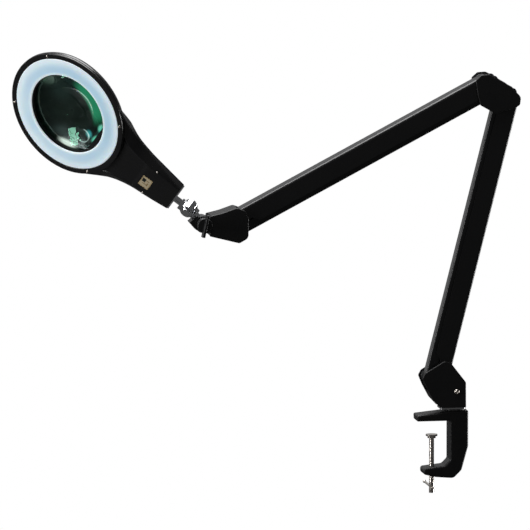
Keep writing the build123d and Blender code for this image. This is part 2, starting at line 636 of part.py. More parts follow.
def screw_places():
    """The places of the screws on the face of the ring."""
    turns = [math.radians(a) for a in RIM_SCREW_ANGLES]
    return [(RIM_SCREW_R * math.cos(t), RIM_SCREW_R * math.sin(t)) for t in turns]


def to_neck(solid):
    """Place a solid given in flat plan coordinates on the bent stretch of the neck."""
    bend = Pos(RING_TO_BEND, 0, 0)
    return bend * Rot(0, NECK_BEND, 0) * bend.inverse() * solid


def small_screw(x, y, face, length):
    """Pan head screw along local Z, its head seated on a face."""
    head = post(x, y, 1.9, face, face + 0.9)
    return head + post(x, y, SCREW_HOLE_R, face - length, face)


def cover_pin(radius, length):
    """Rod along the hinge of the lens cover, in the head's own frame."""
    return Pos(COVER_PIN[0], 0, COVER_PIN[1]) * Rot(90, 0, 0) * Cylinder(radius, length)


def make_shells():
    """Front and rear shells of the head, with the openings for the lens and the light."""
    outside = head_outside()
    hollow = outside - head_inside()
    front = hollow & seam_tool()
    front -= post(0, 0, DIFFUSER_OUT + 0.1, -2.3, 5)
    front -= post(0, 0, TUBE_OUT + 0.1, -30, 5)
    bend = Pos(RING_TO_BEND, 0, 0)
    panel = recess_panel()
    flat_half = panel & block((0, RING_TO_BEND), (-60, 60), (-30, 30))
    bent_half = panel & block((RING_TO_BEND, 200), (-60, 60), (-30, 30))
    front -= flat_half + to_neck(bent_half)
    rear = hollow - seam_tool()
    tube = [(TUBE_IN, REAR_SHELL_BACK), (TUBE_IN, -2.2), (TUBE_OUT, -2.2), (TUBE_OUT, REAR_SHELL_BACK)]
    rear += revolved(tube)
    low, high = LENS_SEAT
    rear += revolved([(57.6, low), (57.6, high), (TUBE_IN + 0.1, high), (TUBE_IN + 0.1, low)])
    for x, radius in BUTTONS.values():
        rear -= to_neck(post(x, 0, radius + 0.3, -22, -12))
    for x, y in screw_places():
        front -= post(x, y, SCREW_HOLE_R, SEAM, 2)
    for x, y in NECK_SCREWS:
        front -= to_neck(post(x, y, SCREW_HOLE_R, SEAM, 2))
    for side in (-1, 1):
        lug = block((64.5, 71.5), (side * 12 - 2, side * 12 + 2), (-25, -15.5))
        rear += lug - cover_pin(COVER_PIN_R, 60)
    return front, rear


def make_lens():
    """Biconvex glass lens."""
    depth = math.sqrt(LENS_CURVE ** 2 - LENS_R ** 2)
    half = LENS_EDGE / 2
    front = Pos(0, 0, LENS_MID + half - depth) * Sphere(LENS_CURVE)
    back = Pos(0, 0, LENS_MID - half + depth) * Sphere(LENS_CURVE)
    return front & back & post(0, 0, LENS_R, -40, 20)


BIFOCAL_TURN = -19.0        # of the small lens about the main one, from the neck


def make_bifocal(lens):
    """Small stronger lens bonded to the front of the main one, on the neck's side."""
    reach = 35.0
    radius = 11.0
    curve = 40.0
    seat = LENS_MID + LENS_EDGE / 2 + math.sqrt(LENS_CURVE ** 2 - reach ** 2) - math.sqrt(
        LENS_CURVE ** 2 - LENS_R ** 2)
    dome = Pos(reach, 0, seat + 2.2 - curve) * Sphere(curve)
    return Rot(0, 0, BIFOCAL_TURN) * ((dome & post(reach, 0, radius, seat - 3, seat + 5)) - lens)


def make_lens_cover():
    """Opaque lid over the back of the lens, with the hinge knuckle on the neck's side."""
    lid = revolved([(0, COVER_LOW), (0, COVER_HIGH), (61.0, COVER_HIGH), (62.5, COVER_HIGH - 0.6),
                    (62.5, COVER_LOW + 1.2), (60.5, COVER_LOW)])
    arm = block((55, COVER_PIN[0]), (-9.5, 9.5), (COVER_PIN[1] - 0.9, COVER_HIGH - 0.2))
    barrel = cover_pin(2.4, 19)
    tab = block((-66.5, -60), (-7, 7), (COVER_LOW + 0.3, COVER_HIGH - 0.3))
    return lid + arm + barrel + tab - cover_pin(COVER_PIN_R + RUNNING, 30)


def make_head():
    """The head: two shells, the lens and its ring, the light, the badge, the buttons and the lid."""
    lens = make_lens()
    front, rear = make_shells()
    keep("head_front_shell", HEAD_FRAME * front)
    keep("head_rear_shell", HEAD_FRAME * rear)
    keep("lens", HEAD_FRAME * lens)
    keep("bifocal_lens", HEAD_FRAME * make_bifocal(lens))
    keep("lens_ring", HEAD_FRAME * revolved([(57.9, -7.9), (57.9, -5.2), (60.1, -5.2), (60.1, -7.9)]))
    keep("lens_gasket", HEAD_FRAME * revolved([(58.3, -12.5), (58.3, -11.9), (60.1, -11.9), (60.1, -12.5)]))
    diffuser = [(DIFFUSER_IN, -2.0), (DIFFUSER_IN, -0.6), (DIFFUSER_IN + 1, 0), (DIFFUSER_OUT - 1, 0),
                (DIFFUSER_OUT, -0.6), (DIFFUSER_OUT, -2.0)]
    keep("diffuser", HEAD_FRAME * revolved(diffuser))
    keep("led_board", HEAD_FRAME * revolved([(63, -9), (63, -7.4), (80.5, -7.4), (80.5, -9)]))
    chips = []
    for row_radius, count in ((67.5, 36), (75.5, 42)):
        for index in range(count):
            turn = Rot(0, 0, 360 * index / count)
            chips.append(HEAD_FRAME * turn * Pos(row_radius, 0, -7.0) * Box(2.8, 3.5, 0.8))
    keep("led_chips", *chips)
    board = to_neck(block((98, 168), (-13, 13), (-11.4, -9.8)))
    keep("driver_board", HEAD_FRAME * board)
    parts = [((104, 120), (-9, 5)), ((124, 131), (-8, 8)), ((138, 160), (-6, 8))]
    keep("driver_parts", *[HEAD_FRAME * to_neck(block(x, y, (-9.8, -8.2))) for x, y in parts])
    plate = block((NECK_END, NECK_END + PLATE_THICK), (-20.6, 20.6), (NECK_BACK + 0.4, NECK_FRONT - 0.4))
    keep("neck_end_plate", HEAD_FRAME * to_neck(fillet(plate.edges().filter_by(Axis.X), 2)))
    keep("rim_screws", *[HEAD_FRAME * small_screw(x, y, 0, 5.8) for x, y in screw_places()])
    keep("neck_screws", *[HEAD_FRAME * to_neck(small_screw(x, y, NECK_FRONT, 5)) for x, y in NECK_SCREWS])
    badge = block((134.5, 150.0), (-14, 5), (NECK_FRONT, NECK_FRONT + 0.15))
    keep("badge", HEAD_FRAME * to_neck(badge))
    for name, (x, radius) in BUTTONS.items():
        stem = post(x, 0, radius, NECK_BACK - BUTTON_PROUD, NECK_BACK + 3)
        flange = post(x, 0, radius + 1, NECK_BACK + SHELL_WALL + 0.4, NECK_BACK + SHELL_WALL + 1.6)
        keep(name, HEAD_FRAME * to_neck(stem + flange))
    keep("lens_cover", HEAD_FRAME * make_lens_cover())
    keep("lens_cover_pin", HEAD_FRAME * cover_pin(COVER_PIN_R, 28))


make_head()

# ---- files --------------------------------------------------------------

os.makedirs("parts", exist_ok=True)
for name, shape in NODES.items():
    export_step(shape, "parts/" + name + ".step")

print("pins", [tuple(round(v, 2) for v in p) for p in (PIN_A, PIN_B, PIN_C, PIN_D, PIN_E, PIN_F, PIN_G, PIN_H)])
for label, vector in (("pan centre", PAN_CENTRE), ("pan axis", PAN_AXIS), ("neck", NECK_DIR),
                      ("ring", RING_CENTRE), ("face", FACE_NORMAL), ("head", HEAD_DIR), ("bend", BEND_POINT),
                      ("stub", STUB_DIR), ("side", SIDE_DIR)):
    print(label, [round(v, 5) for v in (vector.X, vector.Y, vector.Z)])
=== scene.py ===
import json
import math

import bmesh
import bpy
from mathutils import Matrix, Vector


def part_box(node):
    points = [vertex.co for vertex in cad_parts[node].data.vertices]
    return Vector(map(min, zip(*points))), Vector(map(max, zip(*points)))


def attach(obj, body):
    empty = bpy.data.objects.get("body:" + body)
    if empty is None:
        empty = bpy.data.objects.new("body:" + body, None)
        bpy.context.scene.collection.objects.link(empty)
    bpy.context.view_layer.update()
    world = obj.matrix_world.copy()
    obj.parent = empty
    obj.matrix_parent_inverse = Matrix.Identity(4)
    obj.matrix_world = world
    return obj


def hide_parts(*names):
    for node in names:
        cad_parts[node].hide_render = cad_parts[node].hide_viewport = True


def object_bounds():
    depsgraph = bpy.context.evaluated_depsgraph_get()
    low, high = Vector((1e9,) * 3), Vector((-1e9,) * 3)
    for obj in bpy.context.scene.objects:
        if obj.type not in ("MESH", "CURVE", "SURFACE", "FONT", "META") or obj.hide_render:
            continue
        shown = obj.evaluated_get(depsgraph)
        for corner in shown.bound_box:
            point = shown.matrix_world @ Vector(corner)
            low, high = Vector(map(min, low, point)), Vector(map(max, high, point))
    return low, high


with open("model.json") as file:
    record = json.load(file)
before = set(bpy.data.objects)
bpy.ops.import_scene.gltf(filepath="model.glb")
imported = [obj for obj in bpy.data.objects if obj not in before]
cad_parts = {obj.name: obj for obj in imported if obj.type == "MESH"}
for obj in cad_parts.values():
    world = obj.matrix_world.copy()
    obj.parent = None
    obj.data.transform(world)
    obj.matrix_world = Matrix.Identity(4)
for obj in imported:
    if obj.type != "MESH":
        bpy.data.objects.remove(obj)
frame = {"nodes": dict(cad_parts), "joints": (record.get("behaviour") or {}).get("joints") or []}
CAD_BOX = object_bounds()

# ---- clamp frame ----------------------------------------------------------
# A C frame cast in one piece, blasted and dipped in thick black enamel. Its top
# carries the lamp, and the bore in its lower jaw is tapped for the screw.


class Field:
    """A shader value that ordinary arithmetic works on."""

    def __init__(self, finish, socket):
        self.finish = finish
        self.socket = socket

    def maths(self, operation, first, second=0.0, third=0.0):
        made = self.finish.node("ShaderNodeMath", {"operation": operation}, {0: first, 1: second, 2: third})
        return Field(self.finish, made.outputs[0])

    def __add__(self, other):
        return self.maths("ADD", self, other)

    def __sub__(self, other):
        return self.maths("SUBTRACT", self, other)

    def __mul__(self, other):
        return self.maths("MULTIPLY", self, other)

    def __truediv__(self, other):
        return self.maths("DIVIDE", self, other)

    def __rsub__(self, other):
        return self.maths("SUBTRACT", other, self)

    __radd__ = __add__
    __rmul__ = __mul__

    def __pow__(self, other):
        return self.maths("POWER", self, other)

    def size(self):
        return self.maths("ABSOLUTE", self)

    def above(self, other):
        return self.maths("GREATER_THAN", self, other)

    def step(self, low, high):
        """A smooth rise from 0 at low to 1 at high."""
        made = self.finish.node("ShaderNodeMapRange", {"interpolation_type": "SMOOTHSTEP"},
                                {"Value": self, "From Min": low, "From Max": high})
        return Field(self.finish, made.outputs["Result"])


class Finish:
    """One material: its nodes, its shader, and the place on the object that its patterns read."""

    def __init__(self, name, **constants):
        self.material = bpy.data.materials.new(name)
        self.material.use_nodes = True
        self.tree = self.material.node_tree
        self.shader = self.tree.nodes["Principled BSDF"]
        self.place = Field(self, self.node("ShaderNodeTexCoord").outputs["Object"])
        for label, value in constants.items():
            self.shader.inputs[label.replace("_", " ")].default_value = value

    def node(self, kind, settings=None, inputs=None):
        made = self.tree.nodes.new(kind)
        for label, value in (settings or {}).items():
            setattr(made, label, value)
        for label, value in (inputs or {}).items():
            self.feed(made.inputs[label], value)
        return made

    def feed(self, socket, value):
        if isinstance(value, Field):
            self.tree.links.new(value.socket, socket)
        else:
            socket.default_value = value

    def grain(self, scale, detail=3.0, stretch=(1.0, 1.0, 1.0)):
        """Cloudy variation from 0 to 1, with this many patches in a metre."""
        place = self.node("ShaderNodeVectorMath", {"operation": "MULTIPLY"}, {0: self.place, 1: stretch})
        made = self.node("ShaderNodeTexNoise", None,
                         {"Vector": Field(self, place.outputs[0]), "Scale": scale, "Detail": detail})
        return Field(self, made.outputs[0])

    def cells(self, scale):
        """Distance to the nearest point of a scattered pattern."""
        made = self.node("ShaderNodeTexVoronoi", None, {"Vector": self.place, "Scale": scale})
        return Field(self, made.outputs["Distance"])

    def along(self, axis, origin):
        """Distance in metres along an axis, from an origin."""
        shift = self.node("ShaderNodeVectorMath", {"operation": "SUBTRACT"},
                          {0: self.place, 1: tuple(origin)})
        made = self.node("ShaderNodeVectorMath", {"operation": "DOT_PRODUCT"},
                         {0: Field(self, shift.outputs[0]), 1: tuple(axis)})
        return Field(self, made.outputs["Value"])

    def mix(self, factor, first, second):
        """A colour between two colours."""
        made = self.node("ShaderNodeMix", {"data_type": "RGBA"}, {0: factor, 6: first, 7: second})
        return Field(self, made.outputs[2])

    def colour(self, value):
        self.feed(self.shader.inputs["Base Color"], value)
        return self

    def roughness(self, value):
        self.feed(self.shader.inputs["Roughness"], value)
        return self

    def relief(self, height, depth):
        """Raise the surface by a field from 0 to 1, depth in metres."""
        made = self.node("ShaderNodeBump", None, {"Height": height, "Distance": depth})
        self.tree.links.new(made.outputs["Normal"], self.shader.inputs["Normal"])
        return self


def dress(finish, *nodes):
    """Give CAD nodes a finish."""
    for node in nodes:
        piece = frame["nodes"][node]
        for material_slot in piece.material_slots:
            material_slot.material = finish.material


enamel = Finish("clamp_enamel", Specular_IOR_Level=0.28)
cast_skin = enamel.grain(420, 4)
pooled = enamel.grain(45, 2)
enamel.colour(enamel.mix(pooled, (0.0055, 0.0055, 0.006, 1), (0.011, 0.011, 0.0115, 1)))
enamel.roughness(0.34 + 0.12 * cast_skin + 0.06 * pooled)
enamel.relief(cast_skin * 0.7 + pooled * 0.3, 0.00035)
dress(enamel, "clamp_frame")

# ---- clamp screw, pad and bar ---------------------------------------------
# Turned steel with a rolled thread, nickel plated. The pad turns on the screw's
# tip, and the bar slides in a cross hole in its head.


class Recipe:
    """A Geometry Nodes tree with named sizes, grown into a plain mesh."""

    def __init__(self, name, **sizes):
        self.tree = bpy.data.node_groups.new(name, "GeometryNodeTree")
        self.tree.interface.new_socket("Geometry", in_out="INPUT", socket_type="NodeSocketGeometry")
        self.tree.interface.new_socket("Geometry", in_out="OUTPUT", socket_type="NodeSocketGeometry")
        kinds = {int: "NodeSocketInt", float: "NodeSocketFloat"}
        for label, value in sizes.items():
            socket = self.tree.interface.new_socket(label, in_out="INPUT", socket_type=kinds[type(value)])
            socket.default_value = value
        self.entry = self.tree.nodes.new("NodeGroupInput")
        self.exit = self.tree.nodes.new("NodeGroupOutput")

    def node(self, kind, settings=None, inputs=None):
        made = self.tree.nodes.new(kind)
        for label, value in (settings or {}).items():
            setattr(made, label, value)
        for label, value in (inputs or {}).items():
            if hasattr(value, "links"):
                self.tree.links.new(value, made.inputs[label])
            else:
                made.inputs[label].default_value = value
        return made

    def maths(self, operation, first, second=0.0):
        return self.node("ShaderNodeMath", {"operation": operation}, {0: first, 1: second}).outputs[0]

    def given(self, label):
        return self.entry.outputs[label]

    def close(self, geometry, finish):
        """Real geometry in one material, as the tree's result."""
        real = self.node("GeometryNodeRealizeInstances", None, {"Geometry": geometry})
        made = self.node("GeometryNodeSetMaterial", None,
                         {"Geometry": real.outputs[0], "Material": finish.material})
        self.tree.links.new(made.outputs[0], self.exit.inputs[0])

    def grow(self, name, start=None, placing=None, **sizes):
        """The plain mesh that the tree makes with these sizes, put in its place."""
        seed = bpy.data.objects.new(name + "_seed", start or bpy.data.meshes.new(name + "_seed"))
        bpy.context.scene.collection.objects.link(seed)
        modifier = seed.modifiers.new("grow", "NODES")
        modifier.node_group = self.tree
        for item in self.tree.interface.items_tree:
            if item.in_out == "INPUT" and item.name in sizes:
                modifier[item.identifier] = sizes[item.name]
        evaluated = seed.evaluated_get(bpy.context.evaluated_depsgraph_get())
        mesh = bpy.data.meshes.new_from_object(evaluated)
        bpy.data.objects.remove(seed)
        return shown(name, mesh, placing)


def shown(name, mesh, placing=None):
    """A piece with this mesh, its place in its vertices."""
    if placing is not None:
        mesh.transform(placing)
    mesh.name = name
    mesh.update()
    piece = bpy.data.objects.new(name, mesh)
    bpy.context.scene.collection.objects.link(piece)
    return piece


SCREW_CREST = 0.0035
THREAD_DEPTH = 0.00035
THREAD_PITCH = 0.002
THREAD_LOW = -0.0855
THREAD_HIGH = -0.0265

nickel = Finish("nickel_plate", Metallic=1.0)
plating = nickel.grain(900, 3, (1.0, 1.0, 0.25))
tarnish = nickel.grain(120, 3)
nickel.colour(nickel.mix(tarnish, (0.62, 0.56, 0.50, 1), (0.80, 0.76, 0.71, 1)))
nickel.roughness(0.16 + 0.16 * plating)
nickel.relief(plating, 0.00004)
dress(nickel, "clamp_screw", "pressure_pad", "tommy_bar")

thread = Recipe("rolled_thread", crest=SCREW_CREST, depth=THREAD_DEPTH, pitch=THREAD_PITCH, length=0.06,
                rows=300)
barrel = thread.node("GeometryNodeMeshCylinder", None, {
    "Vertices": 32, "Side Segments": thread.given("rows"), "Radius": thread.given("crest"),
    "Depth": thread.given("length")})
spot = thread.node("ShaderNodeSeparateXYZ", None, {0: thread.node("GeometryNodeInputPosition").outputs[0]})
turn = thread.maths("DIVIDE", thread.maths("ARCTAN2", spot.outputs[1], spot.outputs[0]), 2 * math.pi)
phase = thread.maths("SUBTRACT", thread.maths("DIVIDE", spot.outputs[2], thread.given("pitch")), turn)
ramp = thread.maths("PINGPONG", phase, 0.5)
dip = thread.maths("MULTIPLY", ramp, thread.maths("MULTIPLY", thread.given("depth"), 2.0))
shrink = thread.maths("SUBTRACT", 1.0, thread.maths("DIVIDE", dip, thread.given("crest")))
moved = thread.node("ShaderNodeCombineXYZ", None, {
    0: thread.maths("MULTIPLY", spot.outputs[0], shrink),
    1: thread.maths("MULTIPLY", spot.outputs[1], shrink), 2: spot.outputs[2]})
threaded = thread.node("GeometryNodeSetPosition", None,
                       {"Geometry": barrel.outputs["Mesh"], "Position": moved.outputs[0]})
thread.close(threaded.outputs[0], nickel)
clamp_thread = thread.grow("clamp_thread", None, Matrix.Translation((0, 0, (THREAD_LOW + THREAD_HIGH) / 2)),
                           length=THREAD_HIGH - THREAD_LOW)
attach(clamp_thread, "clamp_screw")

# ---- swivel post, bush and bracket ----------------------------------------
# The lamp turns on a ground steel post in a flanged nylon bush. The bent bracket
# above it is zinc plated, and its foot shows as a pale line under the covers.

nylon = Finish("bush_nylon", Subsurface_Weight=0.05)
nylon.colour(nylon.mix(nylon.grain(300), (0.030, 0.030, 0.031, 1), (0.045, 0.045, 0.046, 1)))
nylon.roughness(0.45 + 0.1 * nylon.grain(1500, 1))
nylon.relief(nylon.grain(1500, 1), 0.00003)
dress(nylon, "swivel_bush", "tilt_washers")

zinc = Finish("zinc_plate", Metallic=1.0)
spangle = zinc.grain(260, 4, (1.0, 1.0, 0.3))
zinc.colour(zinc.mix(spangle, (0.40, 0.41, 0.42, 1), (0.66, 0.67, 0.68, 1)))
zinc.roughness(0.26 + 0.2 * zinc.grain(700, 2))
zinc.relief(zinc.grain(1800, 2), 0.00003)
dress(zinc, "base_bracket", "base_post", "base_spacer", "base_pins", "elbow_plates", "elbow_spacer",
      "elbow_pins", "end_plates", "end_spacer", "end_pins", "tilt_bolt", "tilt_nut", "lens_cover_pin")

# ---- knuckle covers -------------------------------------------------------
# Pairs of black ABS half shells, moulded with a fine spark-eroded texture. The polish along the rims where
# hands and arms rub is not drawn.

moulded = Finish("moulded_abs", Specular_IOR_Level=0.3)
spark = moulded.grain(2600, 2)
flow = moulded.grain(28, 2)
moulded.colour(moulded.mix(flow, (0.0065, 0.0065, 0.007, 1), (0.0115, 0.0115, 0.012, 1)))
moulded.roughness(0.36 + 0.12 * spark + 0.08 * flow)
moulded.relief(spark * 0.8 + flow * 0.2, 0.00006)
dress(moulded, "base_cover_near", "base_cover_far", "elbow_cover_near", "elbow_cover_far", "end_cover_near",
      "end_cover_far", "wing_knob")

# ---- arms and links -------------------------------------------------------
# Roll-formed steel channels under satin black powder coat, whose faint orange
# peel breaks up the bright line along each rounded corner.

powder = Finish("powder_coat", Specular_IOR_Level=0.42)
peel = powder.grain(820, 2)
film = powder.grain(18, 3)
dust = powder.cells(650).step(0.12, 0.0)
powder.colour(powder.mix(film, (0.0055, 0.0055, 0.006, 1), (0.0095, 0.0095, 0.010, 1)))
powder.roughness(0.24 + 0.10 * peel + 0.08 * film + 0.1 * dust)
powder.relief(peel * 0.85 + dust * 0.15, 0.000015)
dress(powder, "lower_channel", "lower_link", "upper_channel", "upper_link", "tilt_yoke",
      "lower_spring_anchor", "upper_spring_anchor", "lower_link_anchor", "upper_link_anchor")

# ---- springs --------------------------------------------------------------
# Two close-wound extension springs of bright wire, each hooked by its end loops
# between a rod in the channel and a rod in the link that runs inside it.

WIRE_R = 0.0006
COIL_R = 0.0036
LOOP_R = 0.0034
COIL_PITCH = 0.0016
ANCHOR_R = 0.0015

spring_wire = Finish("spring_wire", Metallic=1.0)
drawn = spring_wire.grain(1400, 2)
oil = spring_wire.grain(60, 3)
spring_wire.colour(spring_wire.mix(oil, (0.36, 0.35, 0.34, 1), (0.55, 0.54, 0.52, 1)))
spring_wire.roughness(0.22 + 0.12 * drawn + 0.08 * oil)
spring_wire.relief(drawn, 0.00002)

coil = Recipe("extension_spring", height=0.19, turns=110.0, radius=COIL_R, loop=LOOP_R, wire=WIRE_R)
wound = coil.node("GeometryNodeCurveSpiral", None, {
    "Resolution": 14, "Rotations": coil.given("turns"), "Start Radius": coil.given("radius"),
    "End Radius": coil.given("radius"), "Height": coil.given("height")})
eye = coil.node("GeometryNodeCurvePrimitiveCircle", {"mode": "RADIUS"},
                {"Resolution": 20, "Radius": coil.given("loop")})
half_height = coil.maths("MULTIPLY", coil.given("height"), 0.5)
reach = coil.maths("ADD", half_height, coil.given("loop"))
parts = coil.tree.nodes.new("GeometryNodeJoinGeometry")
start = coil.node("ShaderNodeCombineXYZ", None, {2: coil.maths("MULTIPLY", half_height, -1.0)})
centred = coil.node("GeometryNodeTransform", None,
                    {"Geometry": wound.outputs[0], "Translation": start.outputs[0]})
coil.tree.links.new(centred.outputs[0], parts.inputs[0])
for end in (1.0, -1.0):
    lift = coil.node("ShaderNodeCombineXYZ", None, {2: coil.maths("MULTIPLY", reach, end)})
    hooked = coil.node("GeometryNodeTransform", None, {
        "Geometry": eye.outputs[0], "Translation": lift.outputs[0], "Rotation": (math.pi / 2, 0, 0)})
    coil.tree.links.new(hooked.outputs[0], parts.inputs[0])
section = coil.node("GeometryNodeCurvePrimitiveCircle", {"mode": "RADIUS"},
                    {"Resolution": 7, "Radius": coil.given("wire")})
swept = coil.node("GeometryNodeCurveToMesh", None,
                  {"Curve": parts.outputs[0], "Profile Curve": section.outputs[0]})
coil.close(swept.outputs[0], spring_wire)


def middle(node):
    """The middle of a CAD node's box."""
    low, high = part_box(node)
    return (Vector(low) + Vector(high)) / 2


def spring(arm, body):
    """The extension spring of one arm, from its rod in the channel to its rod in the link."""
    first = middle(arm + "_spring_anchor")
    last = middle(arm + "_link_anchor")
    span = (last - first).length
    height = span - 2 * (2 * LOOP_R - WIRE_R - ANCHOR_R)
    run = (last - first).normalized()
    pin_axis = Vector((0, 1, 0))
    turned_to = Matrix((pin_axis.cross(run), pin_axis, run)).transposed().to_4x4()
    placing = Matrix.Translation((first + last) / 2) @ turned_to
    piece = coil.grow(arm + "_coil_spring", None, placing, height=height, turns=height / COIL_PITCH)
    piece.data.shade_smooth()
    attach(piece, body)
    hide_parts(arm + "_spring")


spring("lower", "lower_arm")
spring("upper", "upper_arm")

# ---- rubber gland ---------------------------------------------------------
# Soft black rubber, pushed into the rear cover where the lead goes in.

rubber = Finish("gland_rubber", Specular_IOR_Level=0.2)
rubber.colour(rubber.mix(rubber.grain(400), (0.010, 0.010, 0.010, 1), (0.022, 0.022, 0.022, 1)))
rubber.roughness(0.62 + 0.15 * rubber.grain(900))
rubber.relief(rubber.grain(900), 0.00005)
dress(rubber, "cord_gland", "lens_gasket")

# ---- head joint -----------------------------------------------------------
# Die-cast zinc knuckles and their bolt, polished and chrome plated, with a
# plated plate that closes the end of the head's neck.

chrome = Finish("polished_chrome", Metallic=1.0)
polish = chrome.grain(240, 3)
chrome.colour(chrome.mix(polish, (0.64, 0.65, 0.67, 1), (0.80, 0.81, 0.83, 1)))
chrome.roughness(0.035 + 0.06 * chrome.grain(1500, 2))
chrome.relief(polish, 0.000008)
dress(chrome, "pan_knuckle_lower", "pan_knuckle_upper", "pan_bolt", "neck_end_plate")

# ---- head frame -----------------------------------------------------------
# The head lies on the pan joint's axes. Local X runs from the middle of the ring
# towards the neck, and local Z is the way that the light and the lens face.

JOINTS = {joint["name"]: joint for joint in frame["joints"]}
HEAD_PAN = 17.3
NECK_BEND = 11.0
NECK_REACH = 0.024
NECK_RUN = 0.095
NECK_MIDDLE = -0.009
RING_TO_BEND = 0.091

pan_axis = Vector(JOINTS["head_pan"]["axis"]).normalized()
pan_place = Vector(JOINTS["head_pan"]["pos_m"])
stub_axis = Vector(JOINTS["stub_swivel"]["axis"]).normalized()
neck_axis = Matrix.Rotation(math.radians(HEAD_PAN), 3, pan_axis) @ stub_axis
side_axis = pan_axis.cross(neck_axis)
unbend = Matrix.Rotation(math.radians(-NECK_BEND), 3, side_axis)
face_axis = unbend @ pan_axis
head_axis = unbend @ neck_axis
bend_place = pan_place - neck_axis * (NECK_REACH + NECK_RUN) - pan_axis * NECK_MIDDLE
ring_place = bend_place - head_axis * RING_TO_BEND
HEAD = Matrix.Translation(ring_place) @ Matrix((head_axis, side_axis, face_axis)).transposed().to_4x4()

# ---- head shells ----------------------------------------------------------
# Two glossy black ABS mouldings. The front one is the flat face of the ring and the
# top of the neck, and the rear one is a dish with side walls, screwed on from the front.

BEND_SOFTNESS = 0.015
NECK_END = RING_TO_BEND + NECK_RUN
NECK_START = 0.050
REAR_Z = -0.0194
WALL = 0.0018
EDGE_HALF = [(50, 75.3), (58, 70.0), (66, 64.4), (74, 58.9), (84, 52.6), (98, 45.3), (126, 35.4), (150, 29.8),
             (186, 21.9)]
EDGE_DROP = [(50, 1.2), (66, 4.0), (84, 9.5), (98, 12.6), (112, 13.0), (133, 11.3), (160, 7.6), (186, 5.4)]
BACK_RISE = [(0, 0), (44, 0), (60, 2.5), (70, 6.0), (78, 10.5)]
BACK_FLAT = 0.044
TOP_HALF = [(50, 60), (74, 44), (94, 32), (130, 24.4), (186, 19.6)]
TOP_DROP = 0.0045
PANEL_DROP = 0.0010
PANEL_END = 0.131
PANEL_STEP = 0.0016
LIP_DEPTH = 0.0016


def follow(points, x):
    """Smooth value at x through points given in millimetres, in metres."""
    x *= 1000
    for index in range(len(points) - 1):
        low, high = points[index], points[index + 1]
        if x <= high[0]:
            break
    before = points[max(index - 1, 0)]
    after = points[min(index + 2, len(points) - 1)]
    span = high[0] - low[0]
    part = min(max((x - low[0]) / span, 0), 1)
    slope_low = (high[1] - before[1]) / (high[0] - before[0])
    slope_high = (after[1] - low[1]) / (after[0] - low[0])
    cube = part ** 3
    square = part ** 2
    value = ((2 * cube - 3 * square + 1) * low[1] + (cube - 2 * square + part) * span * slope_low
             + (3 * square - 2 * cube) * high[1] + (cube - square) * span * slope_high)
    return value / 1000


def bent(x, y, z):
    """A point given along the straightened neck, on the real bent one."""
    turn = math.radians(NECK_BEND)
    start = RING_TO_BEND - BEND_SOFTNESS
    if x <= start:
        return (x, y, z)
    radius = BEND_SOFTNESS / math.tan(turn / 2)
    angle = min((x - start) / radius, turn)
    rest = max(x - start - radius * turn, 0)
    return (start + (radius + z) * math.sin(angle) + rest * math.cos(angle), y,
            (radius + z) * math.cos(angle) - radius - rest * math.sin(angle))


def rounded(points, radius, steps=4):
    """A closed loop of flat points with each corner eased by an arc of this radius."""
    loop = []
    for index, point in enumerate(points):
        corner = Vector(point)
        to_last = Vector(points[index - 1]) - corner
        to_next = Vector(points[(index + 1) % len(points)]) - corner
        reach = min(radius, to_last.length * 0.45, to_next.length * 0.45)
        first = corner + to_last.normalized() * reach
        last = corner + to_next.normalized() * reach
        for step in range(steps + 1):
            part = step / steps
            loop.append(first * (1 - part) ** 2 + corner * 2 * part * (1 - part) + last * part ** 2)
    return loop


def tube_of(loops, closed=False):
    """Quads between successive loops of points, with the ends capped unless the loops close on themselves."""
    form = bmesh.new()
    rows = [[form.verts.new(point) for point in loop] for loop in loops]
    count = len(rows[0])
    pairs = list(zip(rows, rows[1:])) + ([(rows[-1], rows[0])] if closed else [])
    for row, following in pairs:
        for index in range(count):
            step = (index + 1) % count
            form.faces.new((row[index], row[step], following[step], following[index]))
    if not closed:
        form.faces.new(list(reversed(rows[0])))
        form.faces.new(rows[-1])
    bmesh.ops.recalc_face_normals(form, faces=form.faces)
    return form


def turned(section, radius, count=160):
    """A ring with this closed section of radius and height, its corners eased."""
    loops = []
    for index in range(count):
        turn = 2 * math.pi * index / count
        loops.append([(r * math.cos(turn), r * math.sin(turn), z) for r, z in rounded(section, radius)])
    return tube_of(loops, closed=True)


def join(forms):
    """Several bmesh bodies as one."""
    whole = bmesh.new()
    for form in forms:
        part = bpy.data.meshes.new("part")
        form.to_mesh(part)
        form.free()
        whole.from_mesh(part)
        bpy.data.meshes.remove(part)
    return whole


def finished(name, form, finish, placing, crease=35):
    """A smooth-shaded piece from a bmesh, with edges sharper than this angle kept crisp."""
    mesh = bpy.data.meshes.new(name)
    form.to_mesh(mesh)
    form.free()
    mesh.materials.append(finish.material)
    piece = shown(name, mesh, placing)
    mesh.shade_smooth()
    mesh.set_sharp_from_angle(angle=math.radians(crease))
    return piece


def front_section(x):
    """The front shell's section across the neck: flat top, sloped shoulders and a lip."""
    half = follow(EDGE_HALF, x)
    drop = follow(EDGE_DROP, x)
    top = min(follow(TOP_HALF, x), half - 0.0012)
    sink = PANEL_DROP * min(max((PANEL_END - x) / PANEL_STEP, 0), 1)
    inner = top - 0.0022
    sides = [(inner, -TOP_DROP - sink), (top, -TOP_DROP), (half - 0.0008, -drop), (half, -drop - 0.0006)]
    under = [(half - 0.0006, -drop - LIP_DEPTH), (half - WALL, -drop - 0.0010),
             (top - WALL, -TOP_DROP - sink - WALL)]
    right = sides + under
    left = [(-y, z) for y, z in reversed(right)]
    return [bent(x, y, z) for y, z in rounded(right + left, 0.0012)]


